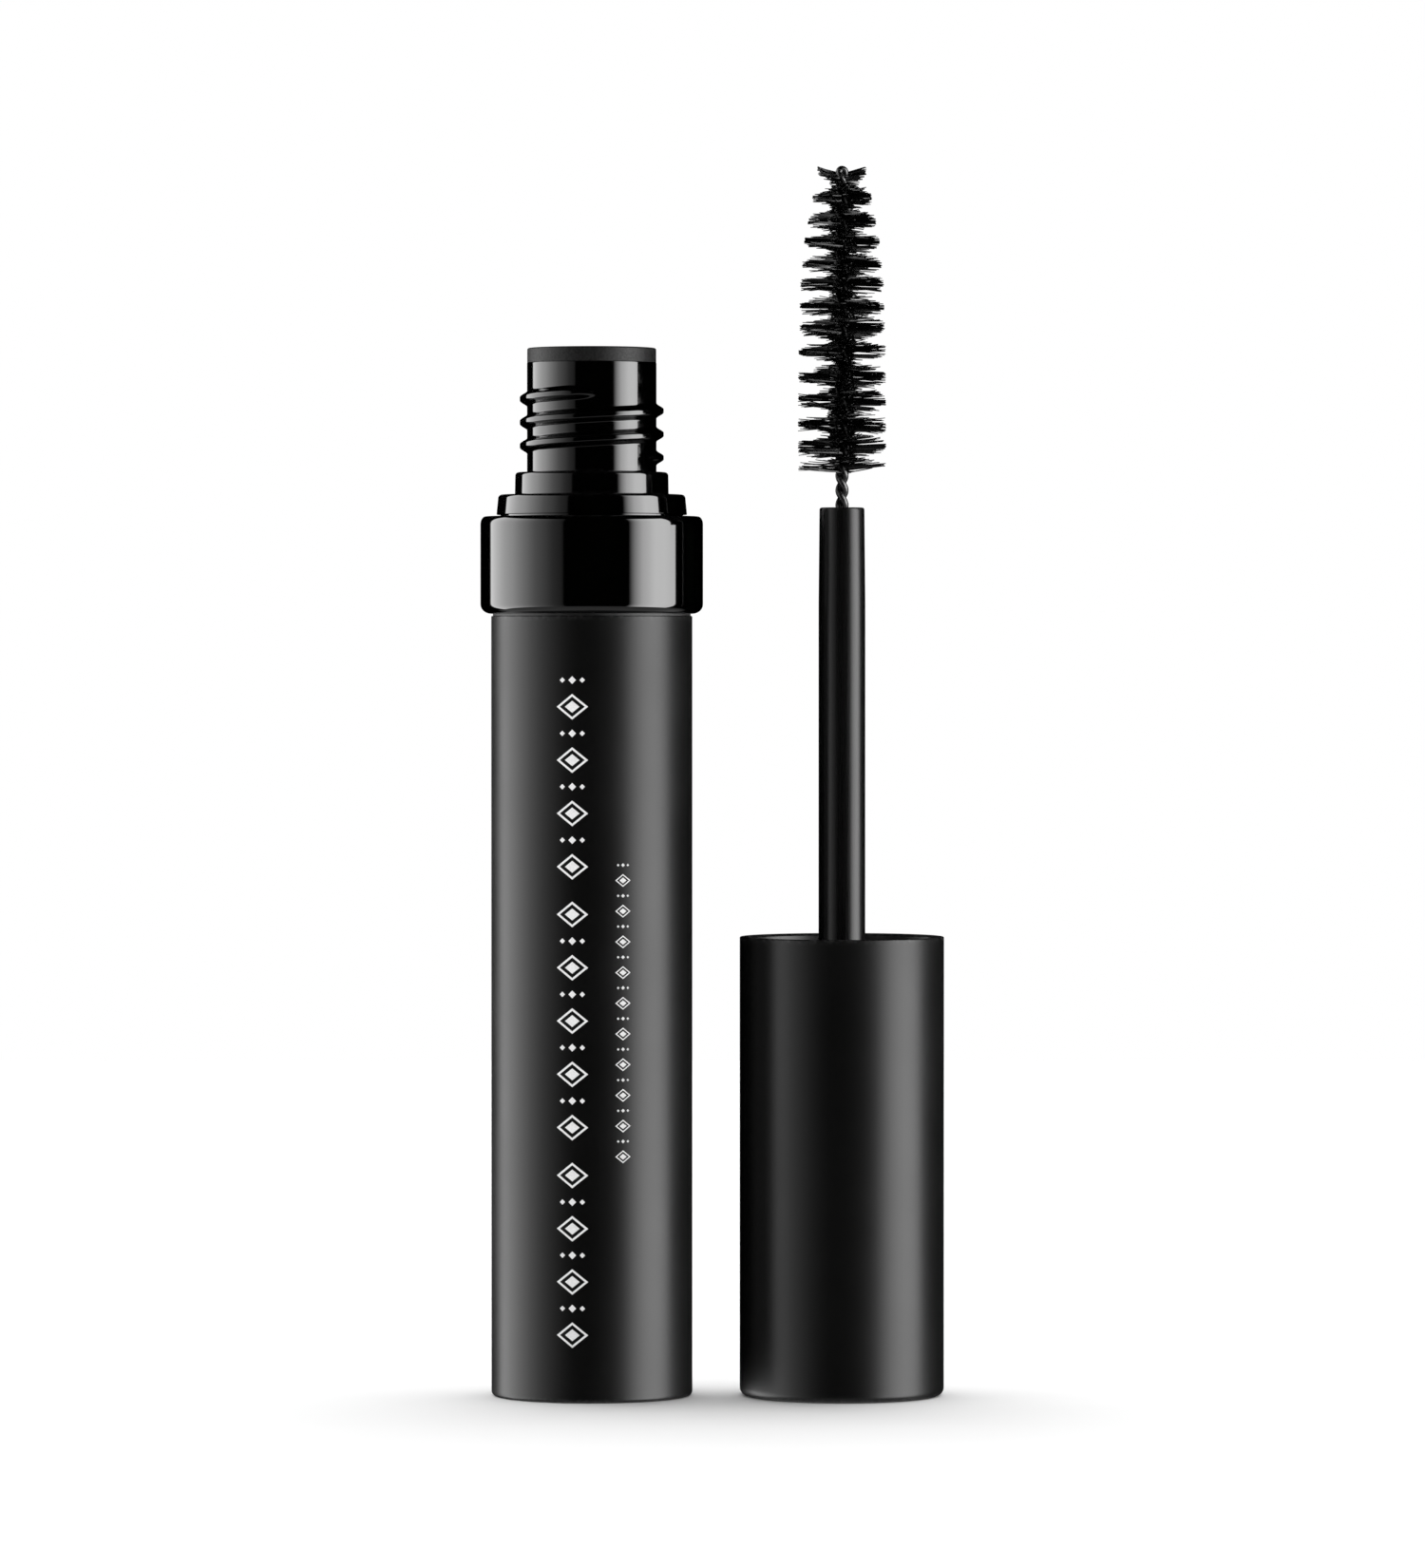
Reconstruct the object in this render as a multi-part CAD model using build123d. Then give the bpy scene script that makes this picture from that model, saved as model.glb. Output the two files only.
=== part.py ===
from build123d import *
import math
import os

# Mascara tube, open, with its cap and wand standing upside down beside it. Millimetres.
# The origin is the centre of the tube's base, on the surface it stands on. +Z is up.
# The wand's axis is parallel to the tube's, WAND_X to its +X side.
# Radii end in _R. Names ending in _TOP, _BOTTOM, _END or _Z are heights above the base.

# Where the wand stands
WAND_X = 22.4

# Outer sleeve
SLEEVE_R = 9.0
SLEEVE_WALL = 0.5
SLEEVE_FLOOR = 0.8
SLEEVE_TOP = 69.8
SLEEVE_CORNER = 0.4

# Collar ring, with a spigot that plugs into the sleeve
COLLAR_R = 9.96
COLLAR_BORE_R = 8.2
COLLAR_TOP = 78.7
COLLAR_ROUND = 0.45
GROOVE_R = 8.85
GROOVE_HEIGHT = 0.2
COLLAR_FOOT_HEIGHT = 0.85
SPIGOT_BOTTOM = 65.8

# Inner bottle: reservoir, two-step shoulder and threaded neck
BOTTLE_R = 7.7
BOTTLE_BOTTOM = 7.4
BOTTLE_FLOOR = 1.0
BOTTLE_CORNER = 0.6
RESERVOIR_R = 6.5
SHOULDER_R = 8.17
SHOULDER_BOTTOM = 65.0
STEP_GAP = 0.15
WIDE_STEP_R = 8.53
WIDE_STEP_TOP_R = 8.35
WIDE_STEP_TOP = 80.65
SMALL_STEP_R = 6.88
SMALL_STEP_TOP_R = 6.84
SMALL_STEP_TOP = 82.65
NECK_R = 5.79
NECK_BORE_R = 4.6
NECK_TOP = 92.45
THROAT_TOP = 81.5
THROAT_BOTTOM = 78.5

# Right-hand thread of the neck
PITCH = 2.1
THREAD_CREST_R = 6.44
THREAD_ROOT_WIDTH = 0.95
THREAD_CREST_WIDTH = 0.45
THREAD_START_Z = 83.95
THREAD_TURNS = 2.76

# Wiper, whose lip strips the brush
WIPER_FLANGE_R = 5.77
WIPER_TOP = 93.75
WIPER_BORE_R = 3.9
WIPER_MOUTH_CHAMFER = 0.25
WIPER_CONE_TOP = 80.0
LIP_R = 2.15
LIP_TOP = 77.4
LIP_BOTTOM = 76.6
LIP_WALL = 0.4

# Weight under the bottle
BASE_WEIGHT_R = 8.3
BASE_WEIGHT_TOP = 7.35
WEIGHT_CHAMFER = 0.4

# Cap shell, standing on its closed end with its rim up
CAP_R = 9.15
CAP_WALL = 0.5
CAP_END = 1.0
CAP_RIM = 41.1
CAP_CORNER = 0.7
RIM_BEVEL = 0.25

# Liner inside the cap, with the internal thread and the socket for the stem
LINER_BAND_R = 8.6
LINER_R = 7.9
LINER_BOTTOM = 8.0
LINER_TOP = 36.6
LINER_BAND_HEIGHT = 1.8
LINER_CEILING = 25.4
CEILING_THICKNESS = 1.4
SKIRT_BORE_R = 6.65
SOCKET_R = 4.0
SOCKET_FLOOR = 9.5
RIB_COUNT = 6
RIB_THICKNESS = 0.9
LINER_THREAD_CREST_R = 5.95
LINER_THREAD_ROOT_WIDTH = 0.8
LINER_THREAD_CREST_WIDTH = 0.45
LINER_THREAD_START_Z = 31.2
LINER_THREAD_TURNS = 2.0

# Weight in the closed end of the cap
CAP_WEIGHT_R = 8.2
CAP_WEIGHT_TOP = 7.95

# Gasket, loose around the stem on the liner's ceiling
GASKET_BORE_R = 2.35
GASKET_R = 6.3
GASKET_BOTTOM = 25.45
GASKET_TOP = 26.2

# Stem
STEM_R = 2.09
STEM_END_R = 2.01
STEM_DRAFT_Z = 71.0
STEM_END = 79.5
STEM_ROUND = 0.2
WIRE_HOLE_R = 0.64
WIRE_HOLE_BOTTOM = 66.7

# Hairpin of wire with a left-hand twist
WIRE_STRAND_R = 0.31
STRAND_OFFSET = 0.29
TWIST_PITCH = 2.6
TWIST_TOP = 109.46
WIRE_TIP = 110.06

# Bristles: radius of the filament ends at the base, the widest place, the middle and the tip
BRUSH_BOTTOM = 82.4
BRUSH_TOP = 109.8
BRUSH_BASE_R = 3.9
BRUSH_WIDEST_R = 3.98
BRUSH_WIDEST_Z = 84.7
BRUSH_MIDDLE_R = 3.57
BRUSH_MIDDLE_Z = 99.4
BRUSH_TIP_R = 1.96

# How far a rib or thread runs into the wall it grows from
EMBED = 0.25


def disc(radius, bottom, top):
    """A solid cylinder about the Z axis."""
    return Pos(0, 0, bottom) * Cylinder(radius, top - bottom, align=(Align.CENTER, Align.CENTER, Align.MIN))


def ring(bore_radius, radius, bottom, top):
    return disc(radius, bottom, top) - disc(bore_radius, bottom, top)


def turned(points, curve=None):
    """Revolve an outline of (radius, height) points about the Z axis, closed by a straight line or by curve."""
    outline = Polyline(*points, close=curve is None)
    if curve:
        outline += curve
    return revolve(make_face(Plane.XZ * outline), Axis.Z)


def rims(shape, radius, height):
    """The circular edges of this radius at this height."""
    circles = shape.edges().filter_by(GeomType.CIRCLE)
    return [e for e in circles if abs(e.radius - radius) < 0.001 and abs(e.arc_center.Z - height) < 0.001]


def thread_rib(wall_radius, crest_radius, root_width, crest_width, start_z, turns):
    """A right-hand helical rib that grows from a wall at wall_radius, starting at azimuth 0, with rounded ends."""
    outward = math.copysign(1, crest_radius - wall_radius)
    height = abs(crest_radius - wall_radius)
    path = Pos(0, 0, start_z) * Helix(PITCH, PITCH * turns, wall_radius)
    nose_slack = 0.02
    parts = []
    for at in (0, 1):
        point = path @ at
        radial = Vector(point.X, point.Y, 0).normalized() * outward
        root = Plane(origin=point - radial * EMBED, x_dir=path % at, z_dir=radial)
        nose = Cone(
            root_width / 2 - nose_slack,
            crest_width / 2 - nose_slack,
            height + EMBED,
            align=(Align.CENTER, Align.CENTER, Align.MIN),
        )
        parts.append(root * nose)
    section_plane = Plane(origin=path @ 0, x_dir=(outward, 0, 0), z_dir=path % 0)
    section = section_plane * Polyline(
        (-EMBED, -root_width / 2),
        (height, -crest_width / 2),
        (height, crest_width / 2),
        (-EMBED, root_width / 2),
        close=True,
    )
    rib = sweep(make_face(section), path=path, is_frenet=True)
    return rib + parts[0] + parts[1]


def make_outer_sleeve():
    sleeve = disc(SLEEVE_R, 0, SLEEVE_TOP) - disc(SLEEVE_R - SLEEVE_WALL, SLEEVE_FLOOR, SLEEVE_TOP)
    sleeve = fillet(rims(sleeve, SLEEVE_R, 0), SLEEVE_CORNER)
    return chamfer(rims(sleeve, SLEEVE_R, SLEEVE_TOP), SLEEVE_WALL / 5)


def make_collar_ring():
    """The wide ring: rounded top edge, curved-in foot, thin groove step, and a spigot inside the sleeve."""
    foot = SLEEVE_TOP + GROOVE_HEIGHT
    spigot_radius = SLEEVE_R - SLEEVE_WALL - 0.03
    side_bottom = foot + COLLAR_FOOT_HEIGHT
    foot_curve = ThreePointArc(
        (GROOVE_R, foot),
        (GROOVE_R + 0.72 * (COLLAR_R - GROOVE_R), foot + 0.3 * COLLAR_FOOT_HEIGHT),
        (COLLAR_R, side_bottom),
    )
    collar = turned(
        [
            (COLLAR_R, side_bottom),
            (COLLAR_R, COLLAR_TOP),
            (COLLAR_BORE_R, COLLAR_TOP),
            (COLLAR_BORE_R, SPIGOT_BOTTOM),
            (spigot_radius, SPIGOT_BOTTOM),
            (spigot_radius, SLEEVE_TOP),
            (GROOVE_R, SLEEVE_TOP),
            (GROOVE_R, foot),
        ],
        foot_curve,
    )
    return fillet(rims(collar, COLLAR_R, COLLAR_TOP), COLLAR_ROUND)


def make_inner_bottle():
    floor_top = BOTTLE_BOTTOM + BOTTLE_FLOOR
    step_bottom = COLLAR_TOP + STEP_GAP
    bottle = turned(
        [
            (0, BOTTLE_BOTTOM),
            (BOTTLE_R, BOTTLE_BOTTOM),
            (BOTTLE_R, SHOULDER_BOTTOM - 0.5),
            (SHOULDER_R, SHOULDER_BOTTOM),
            (SHOULDER_R, step_bottom),
            (WIDE_STEP_R, step_bottom),
            (WIDE_STEP_TOP_R, WIDE_STEP_TOP),
            (SMALL_STEP_R, WIDE_STEP_TOP),
            (SMALL_STEP_TOP_R, SMALL_STEP_TOP),
            (NECK_R, SMALL_STEP_TOP),
            (NECK_R, NECK_TOP),
            (NECK_BORE_R, NECK_TOP),
            (NECK_BORE_R, THROAT_TOP),
            (RESERVOIR_R, THROAT_BOTTOM),
            (RESERVOIR_R, floor_top),
            (0, floor_top),
        ]
    )
    bottle = fillet(rims(bottle, BOTTLE_R, BOTTLE_BOTTOM) + rims(bottle, RESERVOIR_R, floor_top), BOTTLE_CORNER)
    bottle = fillet(rims(bottle, WIDE_STEP_TOP_R, WIDE_STEP_TOP), 0.2)
    bottle = fillet(rims(bottle, SMALL_STEP_TOP_R, SMALL_STEP_TOP), 0.25)
    return bottle + thread_rib(
        NECK_R, THREAD_CREST_R, THREAD_ROOT_WIDTH, THREAD_CREST_WIDTH, THREAD_START_Z, THREAD_TURNS
    )


def make_wiper():
    """A flange on the neck's land, a tube down the neck and a cone that ends in the lip."""
    wiper = turned(
        [
            (WIPER_BORE_R, WIPER_CONE_TOP),
            (LIP_R, LIP_TOP),
            (LIP_R, LIP_BOTTOM),
            (LIP_R + LIP_WALL, LIP_BOTTOM),
            (NECK_BORE_R, WIPER_CONE_TOP - 0.4),
            (NECK_BORE_R, NECK_TOP),
            (WIPER_FLANGE_R, NECK_TOP),
            (WIPER_FLANGE_R, WIPER_TOP),
            (WIPER_BORE_R, WIPER_TOP),
        ]
    )
    wiper = fillet(rims(wiper, WIPER_FLANGE_R, WIPER_TOP), 0.15)
    return chamfer(rims(wiper, WIPER_BORE_R, WIPER_TOP), WIPER_MOUTH_CHAMFER)


def make_weight(radius, bottom, top):
    slug = disc(radius, bottom, top)
    return chamfer(rims(slug, radius, bottom) + rims(slug, radius, top), WEIGHT_CHAMFER)


def make_cap_shell():
    shell = disc(CAP_R, 0, CAP_RIM) - disc(CAP_R - CAP_WALL, CAP_END, CAP_RIM)
    shell = fillet(rims(shell, CAP_R, 0), CAP_CORNER)
    return chamfer(rims(shell, CAP_R - CAP_WALL, CAP_RIM), RIM_BEVEL)


def make_inner_cap():
    """Threaded skirt, ceiling, and a socket boss held by radial ribs."""
    liner = ring(SKIRT_BORE_R, LINER_R, LINER_CEILING, LINER_TOP)
    liner += ring(SKIRT_BORE_R, LINER_BAND_R, LINER_TOP - LINER_BAND_HEIGHT, LINER_TOP)
    liner += disc(LINER_R, LINER_CEILING - CEILING_THICKNESS, LINER_CEILING)
    liner += disc(SOCKET_R, LINER_BOTTOM, LINER_CEILING)
    rib_height = LINER_CEILING - LINER_BOTTOM
    for number in range(RIB_COUNT):
        rib = Box(LINER_BAND_R, RIB_THICKNESS, rib_height, align=(Align.MIN, Align.CENTER, Align.MIN))
        liner += Pos(0, 0, LINER_BOTTOM) * Rot(0, 0, number * 360 / RIB_COUNT) * rib
    liner -= disc(STEM_R, SOCKET_FLOOR, LINER_CEILING)
    return liner + thread_rib(
        SKIRT_BORE_R,
        LINER_THREAD_CREST_R,
        LINER_THREAD_ROOT_WIDTH,
        LINER_THREAD_CREST_WIDTH,
        LINER_THREAD_START_Z,
        LINER_THREAD_TURNS,
    )


def make_wand_stem():
    """A rod with a slight draft towards its end and a hole for the wire."""
    stem = turned(
        [(0, SOCKET_FLOOR), (STEM_R, SOCKET_FLOOR), (STEM_R, STEM_DRAFT_Z), (STEM_END_R, STEM_END), (0, STEM_END)]
    )
    stem = fillet(rims(stem, STEM_END_R, STEM_END), STEM_ROUND)
    return stem - disc(WIRE_HOLE_R, WIRE_HOLE_BOTTOM, STEM_END)


def make_wire_core():
    """Two strands twisted about each other, closed at the tip as one hairpin."""
    strands = Circle(WIRE_STRAND_R)
    section = Pos(STRAND_OFFSET, 0) * strands + Pos(-STRAND_OFFSET, 0) * strands
    length = TWIST_TOP - WIRE_HOLE_BOTTOM
    twisted = Solid.extrude_linear_with_rotation(
        section.face(), (0, 0, 0), (0, 0, length), -360 * length / TWIST_PITCH
    )
    tip_radius = WIRE_TIP - TWIST_TOP
    return Pos(0, 0, WIRE_HOLE_BOTTOM) * twisted + Pos(0, 0, TWIST_TOP) * Sphere(tip_radius)


def make_bristles():
    """The space the filaments fill: a slightly bulging taper around the wire."""
    side = Spline(
        (BRUSH_WIDEST_R, BRUSH_WIDEST_Z),
        (BRUSH_MIDDLE_R, BRUSH_MIDDLE_Z),
        (BRUSH_TIP_R, BRUSH_TOP),
        tangents=[(0, 1), (BRUSH_TIP_R - BRUSH_MIDDLE_R, (BRUSH_TOP - BRUSH_MIDDLE_Z) / 2)],
    )
    return turned(
        [
            (BRUSH_TIP_R, BRUSH_TOP),
            (WIRE_HOLE_R, BRUSH_TOP),
            (WIRE_HOLE_R, BRUSH_BOTTOM),
            (BRUSH_BASE_R, BRUSH_BOTTOM),
            (BRUSH_WIDEST_R, BRUSH_WIDEST_Z),
        ],
        side,
    )


tube_parts = {
    "outer_sleeve": make_outer_sleeve(),
    "collar_ring": make_collar_ring(),
    "inner_bottle": make_inner_bottle(),
    "wiper": make_wiper(),
    "base_weight": make_weight(BASE_WEIGHT_R, SLEEVE_FLOOR, BASE_WEIGHT_TOP),
}
wand_parts = {
    "cap_shell": make_cap_shell(),
    "inner_cap": make_inner_cap(),
    "cap_gasket": ring(GASKET_BORE_R, GASKET_R, GASKET_BOTTOM, GASKET_TOP),
    "cap_weight": make_weight(CAP_WEIGHT_R, CAP_END, CAP_WEIGHT_TOP),
    "wand_stem": make_wand_stem(),
    "wire_core": make_wire_core(),
    "bristles": make_bristles(),
}

os.makedirs("parts", exist_ok=True)
for name, shape in tube_parts.items():
    export_step(shape, f"parts/{name}.step")
for name, shape in wand_parts.items():
    export_step(Pos(WAND_X, 0, 0) * shape, f"parts/{name}.step")
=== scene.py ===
import math
import random
from functools import lru_cache

import bmesh
import bpy
import numpy as np
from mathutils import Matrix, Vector


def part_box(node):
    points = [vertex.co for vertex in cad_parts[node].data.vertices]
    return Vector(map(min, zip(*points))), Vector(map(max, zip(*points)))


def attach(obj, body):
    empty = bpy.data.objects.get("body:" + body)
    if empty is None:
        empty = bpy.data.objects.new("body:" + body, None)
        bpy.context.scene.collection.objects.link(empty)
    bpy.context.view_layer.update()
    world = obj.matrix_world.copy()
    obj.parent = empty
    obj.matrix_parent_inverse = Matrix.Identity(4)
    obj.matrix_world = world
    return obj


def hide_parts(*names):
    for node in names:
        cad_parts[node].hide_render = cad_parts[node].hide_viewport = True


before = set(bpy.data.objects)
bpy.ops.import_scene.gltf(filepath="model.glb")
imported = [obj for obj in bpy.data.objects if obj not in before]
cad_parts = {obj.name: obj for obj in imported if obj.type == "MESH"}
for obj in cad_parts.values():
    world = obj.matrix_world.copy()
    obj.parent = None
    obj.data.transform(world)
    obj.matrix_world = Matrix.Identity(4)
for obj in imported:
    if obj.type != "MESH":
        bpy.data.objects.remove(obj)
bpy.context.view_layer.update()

# The looks of an open mascara tube and its brush wand.
# Metres, in the CAD model's frame: +Z up, the viewer at -Y.
MM = 0.001

# Shared sizes
SMALL_ROUND = 0.08 * MM
SEGMENTS = 256
SHARP_ANGLE = math.radians(32)
ON_AXIS = 1e-9
CORNER_STEPS = 7
CORNER_SUPPORT = 0.25

# Outer sleeve
SLEEVE_WALL = 0.5 * MM
SLEEVE_FLOOR = 0.8 * MM
SLEEVE_CORNER = 0.4 * MM

# Collar ring
COLLAR_BORE_R = 8.2 * MM
COLLAR_ROUND_IN = 0.45 * MM
COLLAR_ROUND_DOWN = 0.7 * MM
GROOVE_R = 8.85 * MM
GROOVE_HEIGHT = 0.2 * MM
COLLAR_FOOT_HEIGHT = 0.85 * MM
SPIGOT_GAP = 0.03 * MM

# Inner bottle
BOTTLE_SEGMENTS = 300
BOTTLE_FLOOR = 1.0 * MM
BOTTLE_R = 7.7 * MM
BOTTLE_CORNER = 0.6 * MM
RESERVOIR_R = 6.5 * MM
SHOULDER_R = 8.17 * MM
SHOULDER_BOTTOM = 65.0 * MM
SHOULDER_SLOPE = 0.5 * MM
STEP_GAP = 0.15 * MM
WIDE_STEP_TOP_R = 8.35 * MM
WIDE_STEP_TOP = 80.65 * MM
SMALL_STEP_R = 6.88 * MM
SMALL_STEP_TOP_R = 6.84 * MM
SMALL_STEP_TOP = 82.65 * MM
STEP_ROUND = 0.3 * MM
NECK_R = 5.79 * MM
NECK_BORE_R = 4.6 * MM
THROAT_TOP = 81.5 * MM
THROAT_BOTTOM = 78.5 * MM

# Right-hand thread of the neck
THREAD_PITCH = 2.1 * MM
THREAD_CREST_R = 6.44 * MM
THREAD_START_Z = 83.95 * MM
THREAD_TURNS = 2.69
THREAD_ROOT_HALF = 0.7 * MM
THREAD_CREST_HALF = 0.14 * MM
THREAD_NOSE_STRETCH = 0.22
THREAD_ROW_SPACING = 0.06 * MM

# Wiper
WIPER_BORE_R = 3.9 * MM
WIPER_CONE_TOP = 80.0 * MM
LIP_R = 2.15 * MM
LIP_HEIGHT = 0.8 * MM
LIP_WALL = 0.4 * MM

# Cap shell and stem
CAP_WALL = 0.5 * MM
CAP_END = 1.0 * MM
CAP_CORNER = 0.7 * MM
RIM_BEVEL = 0.22 * MM
STEM_DRAFT_Z = 71.0 * MM
STEM_END_R = 2.01 * MM
STEM_ROUND = 0.2 * MM
STEM_SEGMENTS = 128
WIRE_HOLE_R = 0.64 * MM

# Twisted hairpin of wire, left-hand like the bristles it holds
STRAND_R = 0.31 * MM
STRAND_OFFSET = 0.29 * MM
BARE_PITCH = 2.62 * MM
BARE_CROSSING_Z = 81.69 * MM
WIRE_SIDES = 14
WIRE_STEP = 0.12 * MM
WINDING_CHANGE = 1 * MM
LOOP_TURN = math.radians(75)
LOOP_TURN_HEIGHT = 1.6 * MM
LOOP_STEPS = 10
# Painted shade of the wire among the bristles: it stops this far below the wire's top, and fades in over this
# height
UNSHADED_TIP = 2.1 * MM
SHADE_FADE = 0.8 * MM

# Bristles: (height, radius) of their trimmed outline
BRISTLE_OUTLINE = (
    (82.4 * MM, 3.95 * MM),
    (84.7 * MM, 3.98 * MM),
    (93.0 * MM, 3.93 * MM),
    (99.4 * MM, 3.76 * MM),
    (103.2 * MM, 3.4 * MM),
    (105.0 * MM, 3.1 * MM),
    (107.3 * MM, 2.66 * MM),
    (109.8 * MM, 2.12 * MM),
)
TIER_SPACING = 2.03 * MM
LOWEST_TIER_Z = 83.1 * MM
SLOW_DRIFT = 0.14
SLOW_DRIFT_RATE = 0.66
SLOW_DRIFT_TIER = 11
QUICK_DRIFT = 0.03
QUICK_DRIFT_RATE = 3.7

# Filaments: how many, where they start, and how long
SEED = 7
FILAMENTS_PER_MM = 81
FIRST_ROOT_ABOVE_BOTTOM = 0.15 * MM
LAST_ROOT_BELOW_TOP = 0.42 * MM
LOWEST_KEPT_SHARE = 0.12
KEPT_SHARE_PER_MM = 0.4
ROOT_HALF_WIDTH = 0.4 * MM
ROOT_NARROWING = 0.4
SHORT_SHARE = 0.44
SHORT_REACH = (0.95 * MM, 1.35 * MM)
LOOP_CLEARANCE = 0.5 * MM
LOOP_CLEARANCE_HEIGHT = 1 * MM

# Filaments: their shape, and how much one differs from the next
FILAMENT_R = 0.05 * MM
FILAMENT_SIDES = 5
FILAMENT_SHARES = (0, 0.28, 0.6, 0.84, 1)
FILAMENT_TAPER = (1, 1, 1, 0.95, 0.75)
THICKNESS_RANGE = (0.85, 1.1)
BEND_SPREAD = 0.06 * MM
TRIM_SPREAD = 0.014
CLUMP_HEIGHT = 0.16 * MM
CLUMP_TURN_SPREAD = math.radians(5)
CLUMP_TILT_SPREAD = math.radians(1.8)
GATHER_MOST = 0.5
ROOT_TURN_SPREAD = math.radians(4)
TIP_TURN_SPREAD = math.radians(8)
TILT_SPREAD = math.radians(1.7)
SHORT_TILT_SPREAD = math.radians(6)
BOTTOM_TILT = 0.14
BOTTOM_TILT_FADE_MM = 0.7
TOP_TILT = 0.2
TOP_TILT_FADE = 0.6 * MM

# Printed marks on the sleeve: heights are above the base, azimuths from the front towards +X
MARK_CELL = 2.36 * MM
MARK_GROUPS = ((4.9 * MM, 7), (23.3 * MM, 9), (46.4 * MM, 8))
MARK_WIDTH = 2.9 * MM
MARK_STROKE = 0.3 * MM
MARK_AZIMUTH = math.radians(-10.3)
SMALL_MARK_CELL = 1.36 * MM
SMALL_MARK_BOTTOM = 21.2 * MM
SMALL_MARK_COUNT = 20
SMALL_MARK_WIDTH = 1.45 * MM
SMALL_MARK_STROKE = 0.16 * MM
SMALL_MARK_AZIMUTH = math.radians(18.7)

# Shape of the marks, in shares of a mark's half width, and how much a lozenge is squashed along the chain
LOZENGE_SQUASH = 1.25
RING_SIZE = 0.88
CORE_SIZE = 0.46
MIDDLE_DOT_SIZE = 0.24
SIDE_DOT_PLACE = 0.62
SIDE_DOT_SIZE = 0.17

# Materials: the part of a noise's range that is put to use, and the groove's matt finish
NOISE_LOW = 0.3
NOISE_HIGH = 0.7
GROOVE_ROUGHNESS = 0.55

# Studio: what the gloss mirrors, as (azimuth in degrees from the front towards +X, radiance)
SOFTBOXES = (
    (-129.5, 0.0),
    (-128.5, 5.2),
    (-112, 5.4),
    (-90, 4.8),
    (-60, 1.6),
    (-40, 0.5),
    (-30, 0.25),
    (-28, 0.0),
    (40, 0.0),
    (47, 4.4),
    (55, 8.2),
    (70, 11.0),
    (82, 10.3),
    (92, 8.6),
    (97, 8.0),
    (98.5, 0.0),
)
BRIGHTEST = 12.0
SOFTBOX_HALF_HEIGHT = math.radians(38)
SOFTBOX_FADE = math.radians(4)
NOTCH_AZIMUTH = math.radians(90.5)
NOTCH_AZIMUTH_BLUR = math.radians(0.5)
NOTCH_ELEVATION = math.radians(1.25)
NOTCH_ELEVATION_BLUR = math.radians(0.0625)
UNDER_RADIANCE = 0.5
UNDER_FULL_AT = math.radians(-42)
UNDER_GONE_AT = math.radians(-30)
DOME_RADIANCE = 1.42
DOME_FROM_BEHIND = 0.3
DOME_HIGH_FROM_BEHIND = 1.2
CAMERA_PLACE = Vector((10.81 * MM, -740 * MM, 67 * MM))
CAMERA_AIM = Vector((10.81 * MM, 0, 54.76 * MM))
FRAME_HEIGHT = 140.4 * MM
SENSOR = 36.0
NEAREST_SEEN = 0.01
FLOOR_HALF_WIDTH = 0.6
FLAG_GAP = 0.3 * MM
FLAG_REACH = 2.2


def smooth(share):
    """0 to 1 with an easy start and end, held outside that range."""
    share = min(max(share, 0), 1)
    return share * share * (3 - 2 * share)


@lru_cache
def place(node):
    """Axis x, radius, lowest and highest point of a round CAD node."""
    low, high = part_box(node)
    return (low.x + high.x) / 2, (high.x - low.x) / 2, low.z, high.z


# ---------------------------------------------------------------- meshes


def mesh_object(name, points, faces):
    """A smooth mesh with sharp edges kept, its normals outward."""
    mesh = bpy.data.meshes.new(name)
    mesh.from_pydata(points, [], faces)
    work = bmesh.new()
    work.from_mesh(mesh)
    bmesh.ops.recalc_face_normals(work, faces=work.faces)
    work.to_mesh(mesh)
    work.free()
    mesh.shade_smooth()
    mesh.set_sharp_from_angle(angle=SHARP_ANGLE)
    piece = bpy.data.objects.new(name, mesh)
    bpy.context.scene.collection.objects.link(piece)
    return piece


def arc(corner, before, after, reach_before, reach_after):
    """An elliptical corner between the sides towards before and after, with a support point past each end."""
    back = (before - corner).normalized()
    onward = (after - corner).normalized()
    points = [corner + back * reach_before * (1 + CORNER_SUPPORT)]
    for number in range(CORNER_STEPS + 1):
        turn = math.pi / 2 * number / CORNER_STEPS
        along_back = back * reach_before * (1 - math.sin(turn))
        along_onward = onward * reach_after * (1 - math.cos(turn))
        points.append(corner + along_back + along_onward)
    points.append(corner + onward * reach_after * (1 + CORNER_SUPPORT))
    return points


def outline(corners):
    """The points of an outline of (radius, height, rounding); rounding may be a (before, after) pair."""
    places = [Vector((c[0], c[1])) for c in corners]
    points = []
    for number, corner in enumerate(corners):
        rounding = corner[2] if len(corner) > 2 else 0
        if not rounding:
            points.append(places[number])
            continue
        reaches = rounding if isinstance(rounding, tuple) else (rounding, rounding)
        before = places[number - 1]
        after = places[(number + 1) % len(places)]
        points += arc(places[number], before, after, *reaches)
    return points


def with_rows(points, low, high, spacing):
    """The outline with its long upright runs between two heights divided into rows."""
    divided = []
    for start, end in zip(points, points[1:] + points[:1]):
        divided.append(start)
        inside = min(start.y, end.y) >= low and max(start.y, end.y) <= high
        rows = int(abs(end.y - start.y) / spacing)
        if inside and rows > 1:
            divided += [start.lerp(end, row / rows) for row in range(1, rows)]
    return divided


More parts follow.
